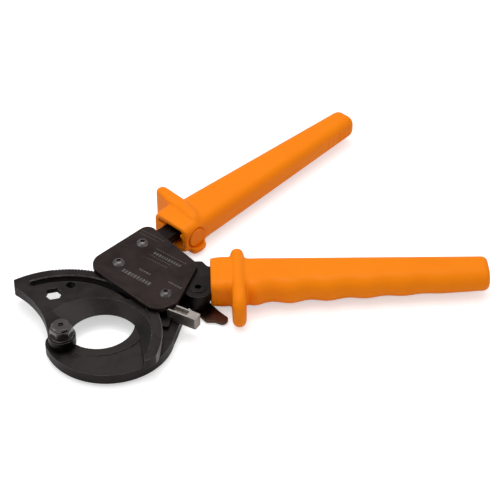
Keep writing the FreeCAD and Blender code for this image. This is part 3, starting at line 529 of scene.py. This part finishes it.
def finish(key):
    """The object's finishes by name, each made once."""
    name = key + "_finish"
    if name in bpy.data.materials:
        return bpy.data.materials[name]
    oxide, worn_and_highlight_colour = tuple(colours().oxide), tuple(colours().oxide_worn_and_highlight)
    plate = tuple(channel * tint for channel, tint in zip(oxide, PLATE_TINT))
    plated, pressed = tuple(colours().plated), tuple(colours().pressed)
    bronze = tuple(colours().bronze)
    recipes = {
        "forged": lambda: steel_finish(name, oxide, worn_and_highlight_colour, 0.34, 0.5, grain=900.0, bump=0.12),
        "plate": lambda: steel_finish(name, plate, worn_and_highlight_colour, 0.36, 0.5,
                                      scratches=0.5, turn=-MARK_TURN, bump=0.05, wear_and_highlight_amount=0.8),
        "blade": lambda: steel_finish(name, oxide, shaded(worn_and_highlight_colour, BLADE_WORN_AND_HIGHLIGHT_SHADE), 0.3, 0.44,
                                      grain=1700.0, scratches=0.2, bump=0.05, rim=RUBBED_AND_HIGHLIT_FROM),
        "pawl": lambda: steel_finish(name, oxide, worn_and_highlight_colour, 0.3, 0.44, grain=1700.0, bump=0.05),
        "tang": lambda: steel_finish(name, shaded(oxide, TANG_SHADE), worn_and_highlight_colour, 0.34, 0.5, bump=0.08, wear_and_highlight_amount=0.7),
        "fastener": lambda: steel_finish(name, shaded(oxide, SCREW_SHADE), worn_and_highlight_colour, 0.2, 0.32,
                                         bump=0.03, wear_and_highlight_amount=0.8, coat=0.8),
        "plated": lambda: steel_finish(name, plated, PLATED_WORN_AND_HIGHLIGHT, 0.34, 0.46, scratches=0.8,
                                       turn=LEVER_BRUSH, bump=0.08, wear_and_highlight_amount=0.9),
        "pressed": lambda: steel_finish(name, pressed, PRESSED_WORN_AND_HIGHLIGHT, 0.3, 0.42, bump=0.06, wear_and_highlight_amount=0.7),
        "spring": lambda: steel_finish(name, WIRE, WIRE_WORN_AND_HIGHLIGHT, 0.25, 0.4, bump=0.03),
        "bronze": lambda: steel_finish(name, bronze, BRONZE_WORN_AND_HIGHLIGHT, 0.26, 0.4, bump=0.04),
        "mark": lambda: steel_finish(name, MARK, MARK_WORN_AND_HIGHLIGHT, 0.5, 0.62, bump=0.02),
        "grip": lambda: grip_finish(name),
    }
    return recipes[key]()


# the CAD nodes that keep their own shape, by finish
STEEL_NODES = {
    "forged": ("fixed_jaw",),
    "plate": ("cover_plate",),
    "blade": ("moving_blade",),
    "pawl": ("drive_pawl", "holding_pawl"),
    "tang": ("handle_tang", "fixed_arm", "hub_pin"),
    "fastener": ("cover_screws", "pivot_bolt", "pivot_washer", "pivot_nut", "lock_screw", "hub_ring",
                 "drive_pawl_pin"),
    "plated": ("release_lever", "release_rivets"),
    "pressed": ("lock_lever",),
    "spring": ("handle_spring", "drive_pawl_spring", "holding_pawl_spring"),
    "bronze": ("blade_bush", "hub_bush", "hold_bush"),
}


# ---- pieces -------------------------------------------------------------------------------------

def skinned_grip(node, name, body, stand, first, last):
    """Soft-edged skin over a CAD grip; the corner behind its guard, from first to last, is softer."""
    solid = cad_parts[node]
    piece = solid.copy()
    piece.data = solid.data.copy()
    piece.parent = None
    for key in list(piece.keys()):
        del piece[key]
    bpy.context.scene.collection.objects.link(piece)
    piece.name = name
    piece.data.name = name
    make_active(piece)
    bpy.ops.object.mode_set(mode="EDIT")
    bpy.ops.mesh.select_all(action="SELECT")
    bpy.ops.mesh.remove_doubles(threshold=MERGE)
    bpy.ops.mesh.normals_make_consistent(inside=False)
    bpy.ops.object.mode_set(mode="OBJECT")
    modify(piece, "REMESH", mode="VOXEL", voxel_size=sizes().skin_cell, adaptivity=0.0)
    modify(piece, "SMOOTH", factor=0.5, iterations=sizes().skin_rounds)
    # the corner's weight is full over its middle half and fades out towards both of its ends
    corner = piece.vertex_groups.new(name="corner")
    to_handle = stand.inverted()
    middle = (first + last) / 2
    half = (last - first) / 2
    for vertex in piece.data.vertices:
        away = abs((to_handle @ vertex.co).x - middle)
        if away < half:
            corner.add([vertex.index], min(1.0, 2.0 * (1.0 - away / half)), "REPLACE")
    modify(piece, "SMOOTH", factor=0.5, iterations=sizes().corner_rounds, vertex_group=corner.name)
    smooth(piece)
    paint(piece, finish("grip"))
    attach(piece, body)
    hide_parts(node)
    return piece


class CUTTER_OT_steel(bpy.types.Operator):
    """Gives every steel and bronze piece of the CAD its finish"""
    bl_idname = "cutter.steel"
    bl_label = "Steel finishes"

    def execute(self, context):
        for key, nodes in STEEL_NODES.items():
            for node in nodes:
                paint(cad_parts[node], finish(key))
        return {"FINISHED"}


class CUTTER_OT_upper_grip(bpy.types.Operator):
    """Skins the fixed handle's grip"""
    bl_idname = "cutter.upper_grip"
    bl_label = "Upper grip"

    def execute(self, context):
        skinned_grip("fixed_grip", "upper_grip_skin", "frame", upper_frame(), *UPPER_CORNER)
        return {"FINISHED"}


class CUTTER_OT_lower_grip(bpy.types.Operator):
    """Skins the moving handle's finger-grooved grip"""
    bl_idname = "cutter.lower_grip"
    bl_label = "Lower grip"

    def execute(self, context):
        skinned_grip("moving_grip", "lower_grip_skin", "moving_handle", Matrix(), *LOWER_CORNER)
        return {"FINISHED"}


class CUTTER_OT_grip_plug(bpy.types.Operator):
    """Models the round plug in the side of the upper grip's mouth"""
    bl_idname = "cutter.grip_plug"
    bl_label = "Grip plug"

    def execute(self, context):
        low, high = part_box("grip_cap")
        centre = (low + high) / 2
        radius = (high.z - low.z) / 2
        across = upper_frame().to_3x3() @ Vector((0.0, 1.0, 0.0))
        reach = max(abs((corner - centre).dot(across)) for corner in
                    (v.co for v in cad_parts["grip_cap"].data.vertices))
        drop_selection()
        bpy.ops.mesh.primitive_cylinder_add(vertices=PLUG_SIDES, radius=radius, depth=2 * reach)
        piece = named("grip_plug")
        bpy.ops.object.mode_set(mode="EDIT")
        select_faces(piece, lambda face: face.normal.z < -0.9)
        for share, depth in PLUG_RINGS:
            bpy.ops.mesh.inset(thickness=radius * share, depth=depth * MM)
        bpy.ops.object.mode_set(mode="OBJECT")
        modify(piece, "BEVEL", width=sizes().plug_edge, segments=3, limit_method="ANGLE",
               angle_limit=math.radians(60.0))
        lay = Matrix.Rotation(math.radians(-90.0), 4, "X")
        piece.matrix_world = Matrix.Translation(centre) @ Matrix.Rotation(UPPER_TURN, 4, "Z") @ lay
        settle(piece)
        smooth(piece, 35.0)
        paint(piece, finish("grip"))
        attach(piece, "frame")
        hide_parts("grip_cap")
        return {"FINISHED"}


class CUTTER_OT_plate_marks(bpy.types.Operator):
    """Lays rows of plain etched bars on the cover plate, where such a tool carries its data"""
    bl_idname = "cutter.plate_marks"
    bl_label = "Plate marks"

    def execute(self, context):
        chance = random.Random(MARK_SEED)
        bars = []
        along = Vector((math.cos(MARK_TURN), math.sin(MARK_TURN), 0.0))
        for x, y, length, height, shortest, longest in MARK_ROWS:
            done = 0.0
            while done < length:
                width = chance.uniform(shortest, longest)
                middle = Vector((x, y, 0.0)) + along * (done + width / 2)
                bars.append((middle * MM, width * MM, height * MM))
                done += width + MARK_GAP
        pieces = []
        for middle, width, height in bars:
            drop_selection()
            bpy.ops.mesh.primitive_plane_add(size=1.0)
            bar = bpy.context.active_object
            bar.scale = (width, height, 1.0)
            bar.rotation_euler = (0.0, 0.0, MARK_TURN)
            bar.location = (middle.x, middle.y, PLATE_TOP + MARK_T * MM / 2)
            pieces.append(bar)
        piece = join(pieces, "plate_marks")
        modify(piece, "SOLIDIFY", thickness=MARK_T * MM, offset=0.0)
        paint(piece, finish("mark"))
        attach(piece, "frame")
        return {"FINISHED"}


class CUTTER_OT_grip_marks(bpy.types.Operator):
    """Raises plain bars on the side of the upper grip, near its end"""
    bl_idname = "cutter.grip_marks"
    bl_label = "Grip marks"

    def execute(self, context):
        pieces = []
        stand = upper_frame()
        upright = Matrix.Rotation(math.radians(90.0), 4, "X")
        for along, up, length, width in GRIP_BARS:
            drop_selection()
            bpy.ops.mesh.primitive_grid_add(x_subdivisions=GRIP_BAR_CELLS, y_subdivisions=GRIP_BAR_CELLS,
                                            size=1.0)
            bar = bpy.context.active_object
            place = Matrix.Translation(Vector((along, GRIP_BAR_START, up)) * MM)
            size = Matrix.Diagonal((length * MM, width * MM, 1.0, 1.0))
            bar.matrix_world = stand @ place @ upright @ size
            pieces.append(bar)
        piece = join(pieces, "grip_marks")
        modify(piece, "SHRINKWRAP", target=bpy.data.objects["upper_grip_skin"], wrap_method="PROJECT",
               wrap_mode="ABOVE_SURFACE", use_project_z=False, use_project_x=False, use_project_y=False,
               use_negative_direction=True, use_positive_direction=True, offset=0.0)
        modify(piece, "SOLIDIFY", thickness=2 * sizes().mark_height, offset=0.0)
        modify(piece, "BEVEL", width=GRIP_BAR_EDGE * MM, segments=2, limit_method="ANGLE",
               angle_limit=math.radians(50.0))
        smooth(piece, 40.0)
        paint(piece, finish("grip"))
        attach(piece, "frame")
        return {"FINISHED"}


# ---- stage --------------------------------------------------------------------------------------

# where the camera stands and looks, its focal length and sensor width (mm), and the nearest it sees
EYE = Vector((0.08354, -0.76646, 0.72308))
LOOK_AT = Vector((0.1184, 0.0793, 0.0128))
LENS = 122.4
SENSOR = 36.0
NEAREST = 0.05

# the floor: size, centre, how far it lies under the object, shade of its darker patches, and how
# much the camera sees it lifted towards white
FLOOR_SIZE = 8.0
FLOOR_CENTRE = (0.1, 0.1)
FLOOR_DROP = 0.2 * MM
FLOOR_PATCH_SHADE = 0.985
FLOOR_LIFT = 0.5

# strength of the even white light from all round
STUDIO_STRENGTH = 0.52
WHITE = (1.0, 1.0, 1.0, 1.0)

# the lights: name, place, size, power and the point that it faces, in metres and watts
LIGHTS = (
    ("top_panel", (0.05, 0.25, 1.1), 1.1, 5.4, (0.1, 0.08, 0.0)),
    ("left_panel", (-0.85, -0.1, 0.75), 0.8, 1.9, (0.1, 0.08, 0.0)),
    ("right_panel", (1.0, -0.5, 0.6), 0.7, 0.8, (0.1, 0.08, 0.0)),
    ("glint", (0.0, 0.33, 0.95), 0.2, 1.3, (0.05, 0.07, 0.02)),
)


def aimed(place, target):
    return (Vector(target) - Vector(place)).to_track_quat("-Z", "Y").to_euler()


class CUTTER_OT_stage(bpy.types.Operator):
    """Lays the floor, hangs the lights and sets the camera"""
    bl_idname = "cutter.stage"
    bl_label = "Stage"

    def execute(self, context):
        scene = bpy.context.scene
        drop_selection()
        level = CAD_BOX[0][2] - FLOOR_DROP
        bpy.ops.mesh.primitive_plane_add(size=FLOOR_SIZE, location=FLOOR_CENTRE + (level,))
        floor = named("floor")
        settle(floor)
        material, tree, shader, place = new_material("floor_finish", 0.85, 0.0, 0.2)
        noise = add(tree, "TexNoise", {"Scale": 9.0, "Detail": 3.0}, {"Vector": place})
        pale = tuple(colours().floor)
        mixed = blend_colours(tree, noise.outputs["Fac"], shaded(pale, FLOOR_PATCH_SHADE), pale)
        tree.links.new(mixed, shader.inputs["Base Color"])
        # the floor is lifted towards white for the eye only, so that it doesn't light the object
        shader.inputs["Emission Color"].default_value = WHITE
        seen = add(tree, "LightPath").outputs["Is Camera Ray"]
        tree.links.new(math_node(tree, "MULTIPLY", seen, FLOOR_LIFT), shader.inputs["Emission Strength"])
        paint(floor, material)
        world = bpy.data.worlds.new("studio")
        world.use_nodes = True
        background = world.node_tree.nodes["Background"]
        background.inputs["Color"].default_value = WHITE
        background.inputs["Strength"].default_value = STUDIO_STRENGTH
        scene.world = world
        for name, location, size, power, target in LIGHTS:
            lamp = bpy.data.lights.new(name, "AREA")
            lamp.shape = "SQUARE"
            lamp.size = size
            lamp.energy = power
            holder = bpy.data.objects.new(name, lamp)
            holder.location = location
            holder.rotation_euler = aimed(location, target)
            scene.collection.objects.link(holder)
        lens = bpy.data.cameras.new("camera")
        lens.lens = LENS
        lens.sensor_width = SENSOR
        lens.clip_start = NEAREST
        camera = bpy.data.objects.new("camera", lens)
        camera.location = EYE
        camera.rotation_euler = aimed(EYE, LOOK_AT)
        scene.collection.objects.link(camera)
        scene.camera = camera
        scene.view_settings.view_transform = "Standard"
        return {"FINISHED"}


STEPS = (CUTTER_OT_steel, CUTTER_OT_upper_grip, CUTTER_OT_lower_grip, CUTTER_OT_grip_plug,
         CUTTER_OT_plate_marks, CUTTER_OT_grip_marks, CUTTER_OT_stage)


class CUTTER_PT_sidebar(bpy.types.Panel):
    """Colours, sizes and pieces of the cable cutter"""
    bl_label = "Cable Cutter"
    bl_idname = "CUTTER_PT_sidebar"
    bl_space_type = "VIEW_3D"
    bl_region_type = "UI"
    bl_category = "Cutter"

    def draw(self, context):
        for settings in (context.scene.cutter_colours, context.scene.cutter_sizes):
            column = self.layout.column()
            for key in settings.__annotations__:
                column.prop(settings, key)
        for step in STEPS:
            self.layout.operator(step.bl_idname)


CLASSES = (CutterColours, CutterSizes) + STEPS + (CUTTER_PT_sidebar,)


def register():
    for each in CLASSES:
        bpy.utils.register_class(each)
    bpy.types.Scene.cutter_colours = bpy.props.PointerProperty(type=CutterColours)
    bpy.types.Scene.cutter_sizes = bpy.props.PointerProperty(type=CutterSizes)


def unregister():
    del bpy.types.Scene.cutter_sizes
    del bpy.types.Scene.cutter_colours
    for each in reversed(CLASSES):
        bpy.utils.unregister_class(each)


def main():
    register()
    for step in STEPS:
        group, name = step.bl_idname.split(".")
        getattr(getattr(bpy.ops, group), name)()


if __name__ == "__main__":
    main()
